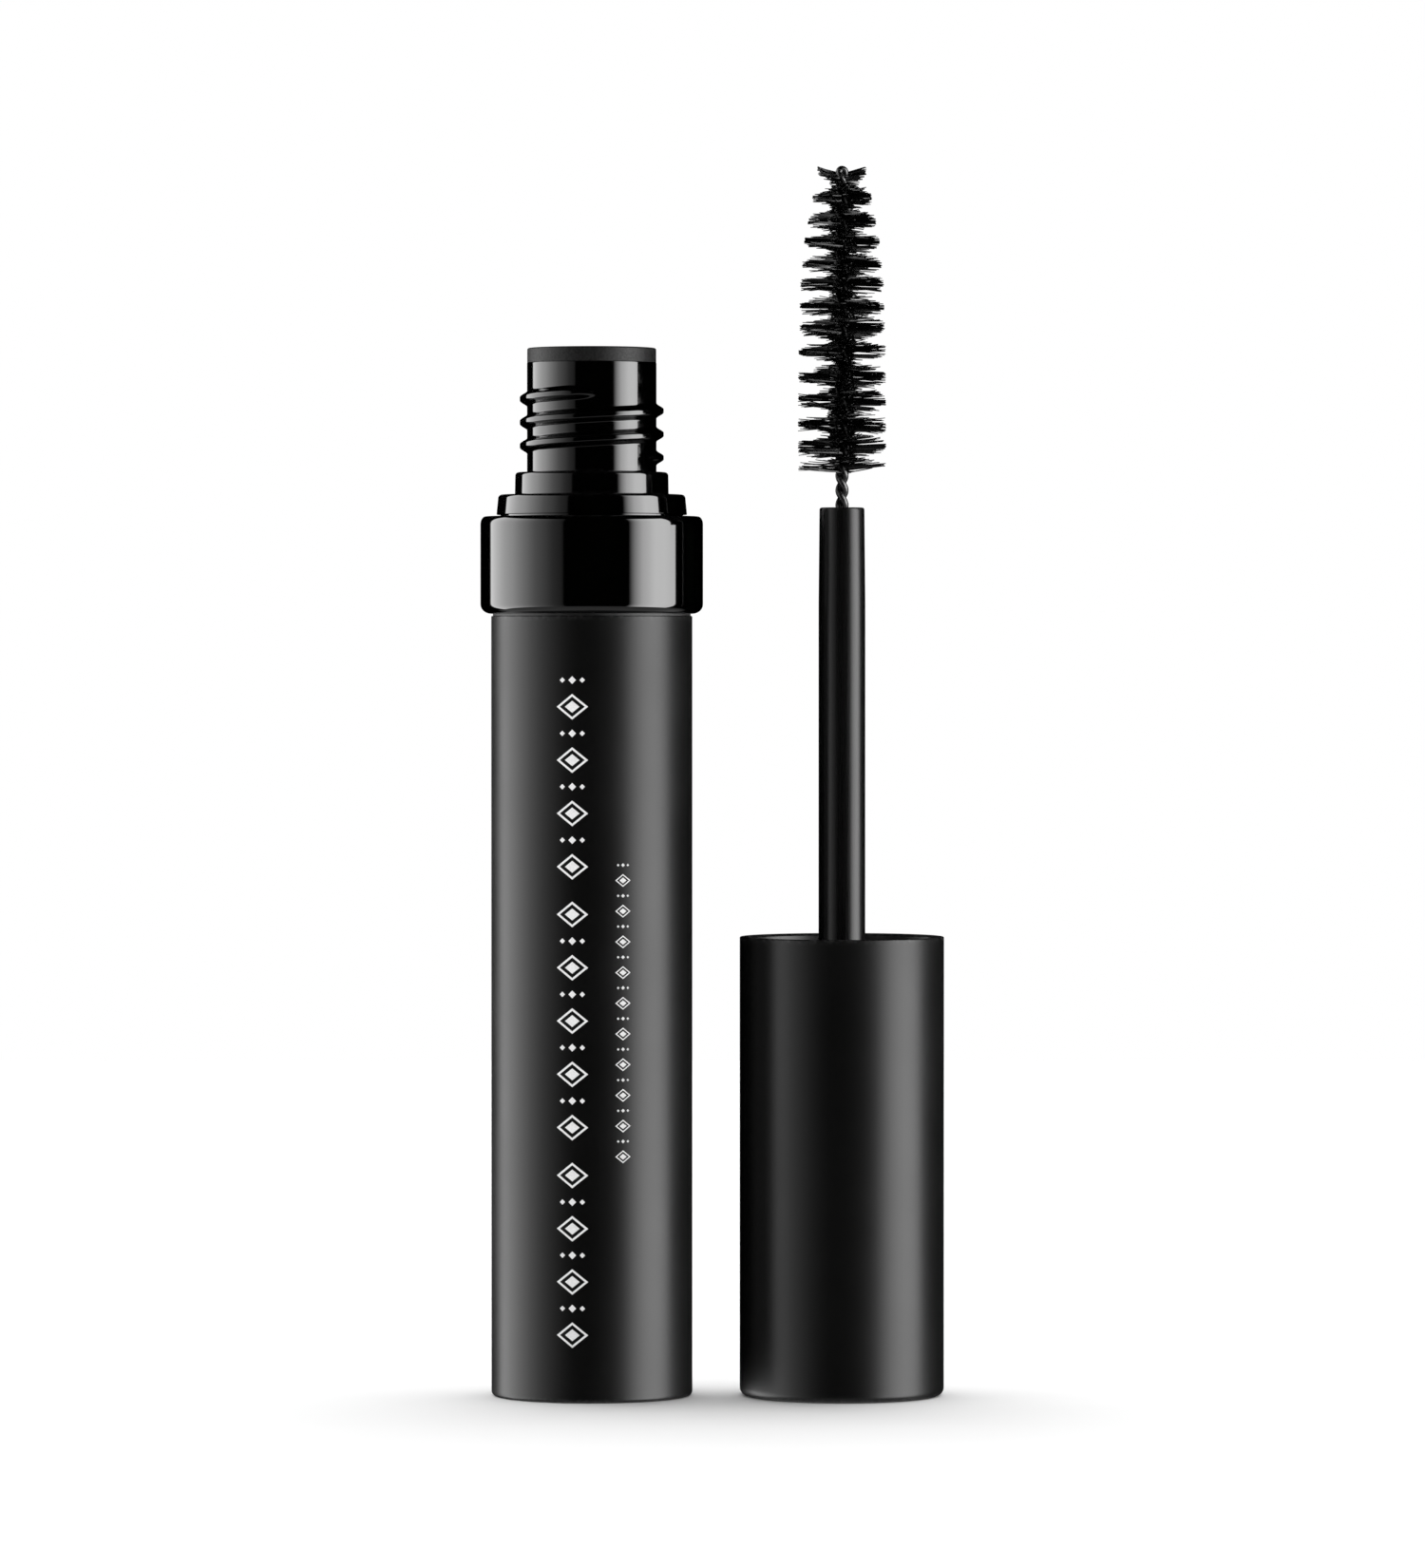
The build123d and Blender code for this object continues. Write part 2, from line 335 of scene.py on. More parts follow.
def turned(name, points, axis_x=0.0, segments=SEGMENTS, bulge=None):
    """Revolves a closed outline. bulge(azimuth, height, radius), if given, returns the radius to use."""
    verts, rings = [], []
    angles = [2 * math.pi * number / segments for number in range(segments)]
    for point in points:
        if point.x < ON_AXIS:
            rings.append([len(verts)])
            verts.append((axis_x, 0.0, point.y))
            continue
        rings.append(list(range(len(verts), len(verts) + segments)))
        for angle in angles:
            radius = bulge(angle, point.y, point.x) if bulge else point.x
            verts.append((axis_x + radius * math.cos(angle), radius * math.sin(angle), point.y))
    faces = []
    for lower, upper in zip(rings, rings[1:] + rings[:1]):
        if len(lower) == 1 and len(upper) == 1:
            continue
        for number in range(segments):
            following = (number + 1) % segments
            if len(lower) == 1:
                faces.append((lower[0], upper[following], upper[number]))
            elif len(upper) == 1:
                faces.append((lower[number], lower[following], upper[0]))
            else:
                faces.append((lower[number], lower[following], upper[following], upper[number]))
    return mesh_object(name, verts, faces)


def tube(path, radii, sides):
    """Vertices and faces of a closed tube along a path of Vectors, with a radius at each point."""
    verts, faces = [], []
    side = None
    for number, point in enumerate(path):
        ahead = path[min(number + 1, len(path) - 1)] - path[max(number - 1, 0)]
        ahead.normalize()
        if side is None:
            side = ahead.orthogonal().normalized()
        side = (side - ahead * side.dot(ahead)).normalized()
        across = ahead.cross(side)
        for corner in range(sides):
            turn = 2 * math.pi * corner / sides
            verts.append(point + (side * math.cos(turn) + across * math.sin(turn)) * radii[number])
        if number:
            first = (number - 1) * sides
            for corner in range(sides):
                following = (corner + 1) % sides
                faces.append(
                    (first + corner, first + following, first + sides + following, first + sides + corner)
                )
    last = (len(path) - 1) * sides
    faces.append(tuple(reversed(range(sides))))
    faces.append(tuple(range(last, last + sides)))
    return verts, faces


# ---------------------------------------------------------------- pieces of the tube


def make_sleeve():
    """A plain cup with a rounded base."""
    axis_x, radius, bottom, top = place("outer_sleeve")
    inner = radius - SLEEVE_WALL
    return turned(
        "sleeve",
        outline(
            [
                (0, bottom),
                (radius, bottom, SLEEVE_CORNER),
                (radius, top, SMALL_ROUND),
                (inner, top, SMALL_ROUND),
                (inner, bottom + SLEEVE_FLOOR),
                (0, bottom + SLEEVE_FLOOR),
            ]
        ),
        axis_x,
    )


def make_collar():
    """Rounded top edge, a foot that curves in to a thin groove, and the spigot inside the sleeve."""
    axis_x, radius, bottom, top = place("collar_ring")
    _, sleeve_radius, _, sleeve_top = place("outer_sleeve")
    spigot_radius = sleeve_radius - SLEEVE_WALL - SPIGOT_GAP
    foot = sleeve_top + GROOVE_HEIGHT
    return turned(
        "collar",
        outline(
            [
                (COLLAR_BORE_R, bottom),
                (spigot_radius, bottom),
                (spigot_radius, sleeve_top),
                (GROOVE_R, sleeve_top),
                (GROOVE_R, foot),
                (radius, foot, (radius - GROOVE_R - SMALL_ROUND * 2, COLLAR_FOOT_HEIGHT)),
                (radius, top, (COLLAR_ROUND_DOWN, COLLAR_ROUND_IN)),
                (COLLAR_BORE_R, top, SMALL_ROUND),
            ]
        ),
        axis_x,
    )


def thread_bulge(azimuth, height, radius):
    """The neck's wall with its thread: a rounded rib along a helix, with long tapering ends."""
    if abs(radius - NECK_R) > SMALL_ROUND:
        return radius
    nearest = THREAD_PITCH
    for turn in range(-1, math.ceil(THREAD_TURNS) + 1):
        along = azimuth / (2 * math.pi) + turn
        held = min(max(along, 0), THREAD_TURNS)
        past_end = (along - held) * 2 * math.pi * NECK_R * THREAD_NOSE_STRETCH
        off_helix = height - (THREAD_START_Z + THREAD_PITCH * held)
        nearest = min(nearest, math.hypot(off_helix, past_end))
    share = (THREAD_ROOT_HALF - nearest) / (THREAD_ROOT_HALF - THREAD_CREST_HALF)
    return radius + (THREAD_CREST_R - NECK_R) * smooth(share)


def make_bottle():
    """Reservoir, two-step shoulder and threaded neck in one moulding."""
    axis_x, widest, bottom, top = place("inner_bottle")
    collar_top = place("collar_ring")[3]
    step_bottom = collar_top + STEP_GAP
    points = outline(
        [
            (0, bottom),
            (BOTTLE_R, bottom, BOTTLE_CORNER),
            (BOTTLE_R, SHOULDER_BOTTOM - SHOULDER_SLOPE),
            (SHOULDER_R, SHOULDER_BOTTOM),
            (SHOULDER_R, step_bottom),
            (widest, step_bottom, SMALL_ROUND),
            (WIDE_STEP_TOP_R, WIDE_STEP_TOP, STEP_ROUND),
            (SMALL_STEP_R, WIDE_STEP_TOP, SMALL_ROUND),
            (SMALL_STEP_TOP_R, SMALL_STEP_TOP, STEP_ROUND),
            (NECK_R, SMALL_STEP_TOP, SMALL_ROUND),
            (NECK_R, top, SMALL_ROUND),
            (NECK_BORE_R, top),
            (NECK_BORE_R, THROAT_TOP),
            (RESERVOIR_R, THROAT_BOTTOM),
            (RESERVOIR_R, bottom + BOTTLE_FLOOR, BOTTLE_CORNER),
            (0, bottom + BOTTLE_FLOOR),
        ]
    )
    neck_outside = [p for p in points if p.x > NECK_R - SMALL_ROUND]
    last = points.index(neck_outside[-1]) + 1
    rows = with_rows(points[:last], SMALL_STEP_TOP, top, THREAD_ROW_SPACING)
    return turned("bottle", rows + points[last:], axis_x, BOTTLE_SEGMENTS, thread_bulge)


def make_wiper():
    """Flange on the neck's land, a tube down the neck, and a cone that ends in the lip."""
    axis_x, flange_radius, bottom, top = place("wiper")
    neck_top = place("inner_bottle")[3]
    return turned(
        "wiper_insert",
        outline(
            [
                (LIP_R, bottom, SMALL_ROUND),
                (LIP_R + LIP_WALL, bottom, SMALL_ROUND),
                (NECK_BORE_R, WIPER_CONE_TOP - LIP_WALL),
                (NECK_BORE_R, neck_top),
                (flange_radius, neck_top),
                (flange_radius, top, 2 * SMALL_ROUND),
                (WIPER_BORE_R, top, 3 * SMALL_ROUND),
                (WIPER_BORE_R, WIPER_CONE_TOP),
                (LIP_R, bottom + LIP_HEIGHT),
            ]
        ),
        axis_x,
    )


# ---------------------------------------------------------------- pieces of the wand


def make_cap_skin():
    """A cup with a rounded closed end, its rim bevelled inside."""
    axis_x, radius, bottom, top = place("cap_shell")
    inner = radius - CAP_WALL
    return turned(
        "cap_skin",
        outline(
            [
                (0, bottom),
                (radius, bottom, CAP_CORNER),
                (radius, top, 1.5 * SMALL_ROUND),
                (inner + RIM_BEVEL, top),
                (inner, top - RIM_BEVEL),
                (inner, bottom + CAP_END),
                (0, bottom + CAP_END),
            ]
        ),
        axis_x,
    )


def make_stem():
    """A rod with a slight draft, a rounded end and the hole for the wire."""
    axis_x, radius, bottom, top = place("wand_stem")
    hole_bottom = place("wire_core")[2]
    return turned(
        "stem",
        outline(
            [
                (0, bottom),
                (radius, bottom),
                (radius, STEM_DRAFT_Z),
                (STEM_END_R, top, STEM_ROUND),
                (WIRE_HOLE_R, top, SMALL_ROUND),
                (WIRE_HOLE_R, hole_bottom),
                (0, hole_bottom),
            ]
        ),
        axis_x,
        STEM_SEGMENTS,
    )


def filament_azimuth(height):
    """Where the filaments point at a height: a left-hand double helix whose tiers drift a little."""
    tiers = (height - LOWEST_TIER_Z) / TIER_SPACING
    slow = SLOW_DRIFT * math.cos(SLOW_DRIFT_RATE * (tiers - SLOW_DRIFT_TIER))
    quick = QUICK_DRIFT * math.sin(QUICK_DRIFT_RATE * tiers)
    drift = slow + quick
    return -math.pi * (tiers + drift)


def strand_azimuth(height):
    """Where the first strand lies: between the filaments, tighter below them, opened out at the loop."""
    bristle_bottom = place("bristles")[2]
    loop_z = place("wire_core")[3] - STRAND_OFFSET - STRAND_R

    def bare(at):
        return math.pi / 2 - 2 * math.pi * (at - BARE_CROSSING_Z) / BARE_PITCH

    def among(at):
        return filament_azimuth(at) - math.pi / 2

    whole_turns = round((bare(bristle_bottom) - among(bristle_bottom)) / math.pi) * math.pi
    share = smooth((height - bristle_bottom) / WINDING_CHANGE)
    loop_share = smooth((height - loop_z) / LOOP_TURN_HEIGHT + 1)
    return bare(height) * (1 - share) + (among(height) + whole_turns) * share - LOOP_TURN * loop_share


def make_wire():
    """One wire: up one strand, round the hairpin at the tip and down the other."""
    axis_x, _, bottom, top = place("wire_core")
    loop_z = top - STRAND_OFFSET - STRAND_R
    lean = math.atan2(2 * math.pi * STRAND_OFFSET, BARE_PITCH)
    foot = bottom + STRAND_R * math.sin(lean)
    steps = int((loop_z - foot) / WIRE_STEP)
    heights = [foot + (loop_z - foot) * number / steps for number in range(steps + 1)]

    def strand_point(height, half_turn):
        angle = strand_azimuth(height) + half_turn
        return Vector((axis_x + STRAND_OFFSET * math.cos(angle), STRAND_OFFSET * math.sin(angle), height))

    path = [strand_point(height, 0) for height in heights]
    outward = strand_azimuth(loop_z)
    for number in range(1, LOOP_STEPS):
        turn = math.pi * number / LOOP_STEPS
        reach = STRAND_OFFSET * math.cos(turn)
        height = loop_z + STRAND_OFFSET * math.sin(turn)
        path.append(Vector((axis_x + reach * math.cos(outward), reach * math.sin(outward), height)))
    path += [strand_point(height, math.pi) for height in reversed(heights)]
    verts, faces = tube(path, [STRAND_R] * len(path), WIRE_SIDES)
    return mesh_object("twisted_wire", verts, faces)


def filament(draw, root_z, azimuth, azimuth_tip, tilt, reach):
    """The centreline of half a filament about the wand's axis, from inside the wire to its cut end."""
    bend = draw.gauss(0, BEND_SPREAD)
    aside = draw.uniform(-ROOT_HALF_WIDTH, ROOT_HALF_WIDTH)
    points = []
    for share in FILAMENT_SHARES:
        radius = STRAND_OFFSET + (reach - STRAND_OFFSET) * share
        angle = azimuth + (azimuth_tip - azimuth) * share
        outward = Vector((math.cos(angle), math.sin(angle), 0))
        across = Vector((-outward.y, outward.x, 0))
        sideways = across * aside * (1 - ROOT_NARROWING * share)
        rise = radius * math.tan(tilt) + bend * share * share
        points.append(outward * radius + sideways + Vector((0, 0, root_z + rise)))
    return points


def clump_of(draw, clumps, key):
    """The turn, tilt and gathering that the filaments of one clump share."""
    if key not in clumps:
        turn = draw.gauss(0, CLUMP_TURN_SPREAD)
        tilt = draw.gauss(0, CLUMP_TILT_SPREAD)
        gather = draw.uniform(0, GATHER_MOST)
        clumps[key] = (turn, tilt, gather)
    return clumps[key]


def short_filament(draw, azimuth):
    """Azimuth at the root and at the tip, tilt and reach of a filament of the underfur."""
    azimuth += draw.uniform(-math.pi / 2, math.pi / 2)
    tilt = draw.gauss(0, SHORT_TILT_SPREAD)
    reach = draw.uniform(*SHORT_REACH)
    return azimuth, azimuth, tilt, reach


def long_filament(draw, azimuth, key, clump, root_z, above_bottom_mm, above_last):
    """The same four of a long filament. It leans towards its clump, and upwards near both ends of the brush."""
    layer, half = key
    clump_turn, clump_tilt, gather = clump
    clump_azimuth = filament_azimuth((layer + 0.5) * CLUMP_HEIGHT) + half + clump_turn
    azimuth_tip = azimuth + (clump_azimuth - azimuth) * gather + draw.gauss(0, TIP_TURN_SPREAD)
    bottom_tilt = BOTTOM_TILT * math.exp(-above_bottom_mm / BOTTOM_TILT_FADE_MM)
    top_tilt = TOP_TILT * math.exp(above_last / TOP_TILT_FADE)
    end_tilt = bottom_tilt + top_tilt
    tilt = clump_tilt + end_tilt + draw.gauss(0, TILT_SPREAD)
    trimmed = float(np.interp(root_z, *zip(*BRISTLE_OUTLINE)))
    reach = trimmed * (1 - abs(draw.gauss(0, TRIM_SPREAD)))
    return azimuth, azimuth_tip, tilt, reach


def make_filaments():
    """Nylon filaments held between the strands: long ones in clumps, and a short underfur at the core."""
    axis_x, _, bottom, top = place("bristles")
    highest = place("wire_core")[3]
    draw = random.Random(SEED)
    last_root = top - LAST_ROOT_BELOW_TOP
    count = int((last_root - bottom) / MM * FILAMENTS_PER_MM)
    root_run = last_root - bottom - FIRST_ROOT_ABOVE_BOTTOM
    clumps = {}
    verts, faces = [], []
    for number in range(count):
        root_z = bottom + FIRST_ROOT_ABOVE_BOTTOM + root_run * (number + draw.random()) / count
        above_bottom_mm = (root_z - bottom) / MM
        above_last = root_z - last_root
        if draw.random() > LOWEST_KEPT_SHARE + KEPT_SHARE_PER_MM * above_bottom_mm:
            continue
        behind_loop = LOOP_CLEARANCE * smooth(above_last / LOOP_CLEARANCE_HEIGHT + 1)
        for half in (0, math.pi):
            key = (int(root_z / CLUMP_HEIGHT), half)
            clump = clump_of(draw, clumps, key)
            azimuth = filament_azimuth(root_z) + half + draw.gauss(0, ROOT_TURN_SPREAD)
            if draw.random() < SHORT_SHARE:
                shape = short_filament(draw, azimuth)
            else:
                shape = long_filament(draw, azimuth, key, clump, root_z, above_bottom_mm, above_last)
            path = filament(draw, root_z, *shape)
            for point in path:
                point.x += axis_x
                point.y += behind_loop
                point.z = min(point.z, highest - FILAMENT_R)
            thickness = FILAMENT_R * draw.uniform(*THICKNESS_RANGE)
            radii = [thickness * share for share in FILAMENT_TAPER]
            new_verts, new_faces = tube(path, radii, FILAMENT_SIDES)
            first = len(verts)
            verts += new_verts
            faces += [tuple(index + first for index in face) for face in new_faces]
    return mesh_object("filaments", verts, faces)


# ---------------------------------------------------------------- materials


class Nodes:
    """The shader nodes of one tree, each made by one call that returns its output."""

    def __init__(self, tree):
        self.nodes = tree.nodes
        self.links = tree.links

    def link(self, value, socket):
        if isinstance(value, bpy.types.NodeSocket):
            self.links.new(value, socket)
        else:
            socket.default_value = value

    def math(self, operation, *values):
        node = self.nodes.new("ShaderNodeMath")
        node.operation = operation
        for value, socket in zip(values, node.inputs):
            self.link(value, socket)
        return node.outputs[0]

    def spread(self, value, low, high, to_low, to_high):
        """value from low..high onto to_low..to_high, held at the ends."""
        node = self.nodes.new("ShaderNodeMapRange")
        for socket, number in zip(node.inputs[:5], (value, low, high, to_low, to_high)):
            self.link(number, socket)
        return node.outputs[0]


class Finish(Nodes):
    """One procedural material on the Principled shader, in the object's own coordinates."""

    def __init__(self, name, **constants):
        self.material = bpy.data.materials.new(name)
        self.material.use_nodes = True
        super().__init__(self.material.node_tree)
        self.shader = self.nodes["Principled BSDF"]
        for socket, value in constants.items():
            self.shader.inputs[socket.replace("_", " ")].default_value = value
        self.place = self.nodes.new("ShaderNodeTexCoord").outputs["Object"]

    def noise(self, scale, detail=3.0, roughness=0.55, place=None):
        node = self.nodes.new("ShaderNodeTexNoise")
        node.inputs["Scale"].default_value = scale
        node.inputs["Detail"].default_value = detail
        node.inputs["Roughness"].default_value = roughness
        self.links.new(place or self.place, node.inputs["Vector"])
        return node.outputs[0]

    def varied(self, noise, low, high):
        """low..high over the part of a noise's range that is put to use."""
        return self.spread(noise, NOISE_LOW, NOISE_HIGH, low, high)

    def mix(self, share, first, second):
        node = self.nodes.new("ShaderNodeMix")
        node.data_type = "RGBA"
        self.link(share, node.inputs[0])
        self.link(first, node.inputs[6])
        self.link(second, node.inputs[7])
        return node.outputs[2]

    def stretched(self, x, y, z):
        """Object coordinates scaled along each axis, for grain that runs one way."""
        node = self.nodes.new("ShaderNodeMapping")
        node.inputs["Scale"].default_value = (x, y, z)
        self.links.new(self.place, node.inputs["Vector"])
        return node.outputs[0]

    def axes(self):
        node = self.nodes.new("ShaderNodeSeparateXYZ")
        self.links.new(self.place, node.inputs[0])
        return node.outputs

    def bump(self, height, distance, strength=1.0, under=None):
        node = self.nodes.new("ShaderNodeBump")
        node.inputs["Strength"].default_value = strength
        node.inputs["Distance"].default_value = distance
        self.links.new(height, node.inputs["Height"])
        if under:
            self.links.new(under, node.inputs["Normal"])
        return node.outputs[0]

    def edge_wear(self, heights, reach):
        """A mask that is strongest at the given heights and broken up by noise."""
        z = self.axes()[2]
        mask = None
        for height in heights:
            near = self.spread(self.math("ABSOLUTE", self.math("SUBTRACT", z, height)), 0, reach, 1, 0)
            mask = near if mask is None else self.math("MAXIMUM", mask, near)
        broken = self.spread(self.noise(2600, 4.0), 0.45, 0.7, 0, 1)
        return self.math("MULTIPLY", mask, broken)

    def finish(self, colour, roughness, normal):
        for value, name in ((colour, "Base Color"), (roughness, "Roughness"), (normal, "Normal")):
            if value is not None:
                self.links.new(value, self.shader.inputs[name])
        return self.material


def grey(level):
    return (level, level, level, 1.0)


def matte_shell(name, wear_heights, marks=False):
    """Matte black anodised metal with a fine bead-blasted grain, rubbed lighter along its edges."""
    look = Finish(name, IOR=1.5, Specular_IOR_Level=0.23)
    broad = look.noise(90, 2.0)
    fine = look.noise(9000, 3.0)
    colour = look.mix(broad, grey(0.0010), grey(0.0022))
    wear = look.edge_wear(wear_heights, 0.5 * MM)
    colour = look.mix(wear, colour, grey(0.03))
    roughness = look.math("ADD", look.varied(broad, 0.335, 0.375), look.varied(fine, -0.02, 0.02))
    roughness = look.math("SUBTRACT", roughness, look.math("MULTIPLY", wear, 0.08))
    normal = look.bump(fine, 0.004 * MM, 0.5)
    if marks:
        ink = printed_marks(look)
        speckle = look.spread(look.noise(7000, 2.0), 0.35, 0.65, 0.9, 1.0)
        colour = look.mix(look.math("MULTIPLY", ink, speckle), colour, grey(0.92))
        roughness = look.math("ADD", roughness, look.math("MULTIPLY", ink, 0.12))
        normal = look.bump(ink, 0.01 * MM, 1.0, normal)
    return look.finish(colour, roughness, normal)


def mark_chain(look, across, width, start, cell, count, stroke):
    """Ink of one upright border: nested lozenges, and rows of three small dots, taking turns."""
    z = look.axes()[2]
    steps = look.math("DIVIDE", look.math("SUBTRACT", z, start), cell)
    past_start = look.math("GREATER_THAN", steps, 0)
    inside = look.math("MULTIPLY", past_start, look.math("LESS_THAN", steps, count))
    along = look.math("ABSOLUTE", look.math("SUBTRACT", look.math("FRACT", steps), 0.5))
    along = look.math("DIVIDE", look.math("MULTIPLY", along, cell), width / 2)
    off = look.math("DIVIDE", look.math("ABSOLUTE", across), width / 2)
    odd = look.math("MODULO", look.math("FLOOR", steps), 2)
    even = look.math("SUBTRACT", 1, odd)
    nested = lozenges(look, off, along, stroke / width)
    dots = three_dots(look, off, along)
    either = look.math("ADD", look.math("MULTIPLY", nested, even), look.math("MULTIPLY", dots, odd))
    return look.math("MULTIPLY", either, inside)


def lozenges(look, off, along, half_stroke):
    """A lozenge-shaped ring with a solid lozenge in it."""
    size = look.math("ADD", off, look.math("MULTIPLY", along, LOZENGE_SQUASH))
    off_ring = look.math("ABSOLUTE", look.math("SUBTRACT", size, RING_SIZE))
    ring = look.math("LESS_THAN", off_ring, half_stroke)
    core = look.math("LESS_THAN", size, CORE_SIZE)
    return look.math("MAXIMUM", ring, core)


def three_dots(look, off, along):
    """A larger dot in the middle and a small one at each side."""
    middle_dot = look.math("LESS_THAN", look.math("ADD", off, along), MIDDLE_DOT_SIZE)
    side_off = look.math("ABSOLUTE", look.math("SUBTRACT", off, SIDE_DOT_PLACE))
    side_dots = look.math("LESS_THAN", look.math("ADD", side_off, along), SIDE_DOT_SIZE)
    return look.math("MAXIMUM", middle_dot, side_dots)


def printed_marks(look):
    """A generic border print in place of lettering: a wide chain in three groups and a narrow chain."""
    radius = place("outer_sleeve")[1]
    x, y, _ = look.axes()
    azimuth = look.math("ARCTAN2", x, look.math("MULTIPLY", y, -1))
    wide = look.math("MULTIPLY", look.math("SUBTRACT", azimuth, MARK_AZIMUTH), radius)
    narrow = look.math("MULTIPLY", look.math("SUBTRACT", azimuth, SMALL_MARK_AZIMUTH), radius)
    ink = mark_chain(
        look,
        narrow,
        SMALL_MARK_WIDTH,
        SMALL_MARK_BOTTOM,
        SMALL_MARK_CELL,
        SMALL_MARK_COUNT,
        SMALL_MARK_STROKE,
    )
    for start, count in MARK_GROUPS:
        group = mark_chain(look, wide, MARK_WIDTH, start, MARK_CELL, count, MARK_STROKE)
        ink = look.math("MAXIMUM", ink, group)
    return ink


def gloss_black(name, wear_heights, roughness_low, roughness_high, matt_below=0):
    """Glossy moulded black plastic with faint polishing smears and rubbed edges, matt below a height."""
    look = Finish(name, IOR=1.5)
    smear = look.noise(1.0, 4.0, place=look.stretched(300, 300, 60))
    colour = look.mix(look.noise(150, 2.0), grey(0.0002), grey(0.0006))
    wear = look.edge_wear(wear_heights, 0.25 * MM)
    colour = look.mix(wear, colour, grey(0.01))
    roughness = look.spread(smear, 0.35, 0.7, roughness_low, roughness_high)
    roughness = look.math("ADD", roughness, look.math("MULTIPLY", wear, 0.08))
    below = look.math("LESS_THAN", look.axes()[2], matt_below)
    matt = look.math("MULTIPLY", below, GROOVE_ROUGHNESS)
    roughness = look.math("MAXIMUM", roughness, matt)
    normal = look.bump(look.noise(350, 2.0), 0.0008 * MM, 0.25)
    return look.finish(colour, roughness, normal)


def wiper_plastic():
    """Soft grainy black polyethylene."""
    look = Finish("wiper_plastic_look", IOR=1.5, Specular_IOR_Level=0.2)
    grain = look.noise(6500, 4.0, 0.65)
    blotch = look.noise(4500, 3.0)
    colour = look.mix(look.spread(blotch, 0.35, 0.65, 0, 1), grey(0.0008), grey(0.008))
    roughness = look.varied(grain, 0.42, 0.62)
    normal = look.bump(blotch, 0.03 * MM, 0.6, look.bump(grain, 0.02 * MM, 0.6))
    return look.finish(colour, roughness, normal)


def stem_plastic():
    """Satin black plastic with faint lengthwise drawing lines."""
    look = Finish("stem_plastic_look", IOR=1.46, Specular_IOR_Level=0.28)
    lines = look.noise(1.0, 3.0, place=look.stretched(9000, 9000, 120))
    colour = look.mix(look.noise(200, 2.0), grey(0.0015), grey(0.003))
    wear = look.edge_wear([place("wand_stem")[3]], 0.3 * MM)
    colour = look.mix(wear, colour, grey(0.03))
    roughness = look.varied(lines, 0.24, 0.32)
    normal = look.bump(lines, 0.002 * MM, 0.5)
    return look.finish(colour, roughness, normal)


def liner_plastic():
    """Satin moulded black plastic."""
    look = Finish("liner_plastic_look", IOR=1.5)
    grain = look.noise(4000, 3.0)
    colour = look.mix(look.noise(300, 2.0), grey(0.006), grey(0.012))
    roughness = look.varied(grain, 0.35, 0.5)
    return look.finish(colour, roughness, look.bump(grain, 0.006 * MM, 0.5))


def gasket_foam():
    """Off-white foamed polyethylene with open pores."""
    look = Finish("gasket_foam_look", IOR=1.45)
    cells = look.nodes.new("ShaderNodeTexVoronoi")
    cells.inputs["Scale"].default_value = 5000
    look.links.new(look.place, cells.inputs["Vector"])
    colour = look.mix(cells.outputs[0], grey(0.55), (0.72, 0.71, 0.68, 1))
    roughness = look.varied(look.noise(3000), 0.6, 0.8)
    return look.finish(colour, roughness, look.bump(cells.outputs[0], 0.03 * MM, 0.6))


def weight_steel():
    """Turned steel, with the fine rings that the lathe leaves."""
    look = Finish("weight_steel_look", Metallic=1.0)
    rings = look.noise(1.0, 2.0, place=look.stretched(400, 400, 12000))
    colour = look.mix(look.noise(500), grey(0.42), grey(0.55))
    roughness = look.varied(rings, 0.25, 0.42)
    return look.finish(colour, roughness, look.bump(rings, 0.004 * MM, 0.6))


def brush_wire():
    """Dark drawn steel with draw lines along it, painted black where it runs among the bristles: painted shade
    of the bristles around it.
    """
    look = Finish("brush_wire_look", Metallic=1.0)
    lines = look.noise(7000, 3.0)
    bristle_bottom = place("bristles")[2]
    unshaded_from = place("wire_core")[3] - UNSHADED_TIP
    z = look.axes()[2]
    # Painted shade: the wire's colour goes near-black among the bristles for the shade they cast on it, but not
    # at its tip
    below_tip = look.spread(z, unshaded_from, unshaded_from + SHADE_FADE, 1, 0)
    painted_shade = look.spread(z, bristle_bottom, bristle_bottom + SHADE_FADE, 0, 1)
    painted_shade = look.math("MULTIPLY", painted_shade, below_tip)
    colour = look.mix(look.noise(1800), grey(0.035), grey(0.08))
    colour = look.mix(painted_shade, colour, grey(0.003))
    roughness = look.varied(lines, 0.24, 0.4)
    return look.finish(colour, roughness, look.bump(lines, 0.004 * MM, 0.6))


def nylon():
    """Black nylon filament with a slight sheen that varies from one filament to the next."""
    look = Finish("nylon_look", IOR=1.53, Specular_IOR_Level=0.22)
    vary = look.noise(3500, 2.0)
    colour = look.mix(vary, grey(0.0005), grey(0.002))
    roughness = look.varied(vary, 0.18, 0.3)
    return look.finish(colour, roughness, look.bump(look.noise(20000, 2.0), 0.002 * MM, 0.5))


# ---------------------------------------------------------------- studio


def make_camera():
    """A camera far in front of the object that looks slightly down, with a long lens."""
    camera = bpy.data.objects.new("camera", bpy.data.cameras.new("camera"))
    bpy.context.scene.collection.objects.link(camera)
    camera.location = CAMERA_PLACE
    aim = CAMERA_AIM - CAMERA_PLACE
    camera.rotation_euler = aim.to_track_quat("-Z", "Y").to_euler()
    camera.data.sensor_width = SENSOR
    camera.data.lens = SENSOR * aim.length / FRAME_HEIGHT
    camera.data.clip_start = NEAREST_SEEN
    bpy.context.scene.camera = camera


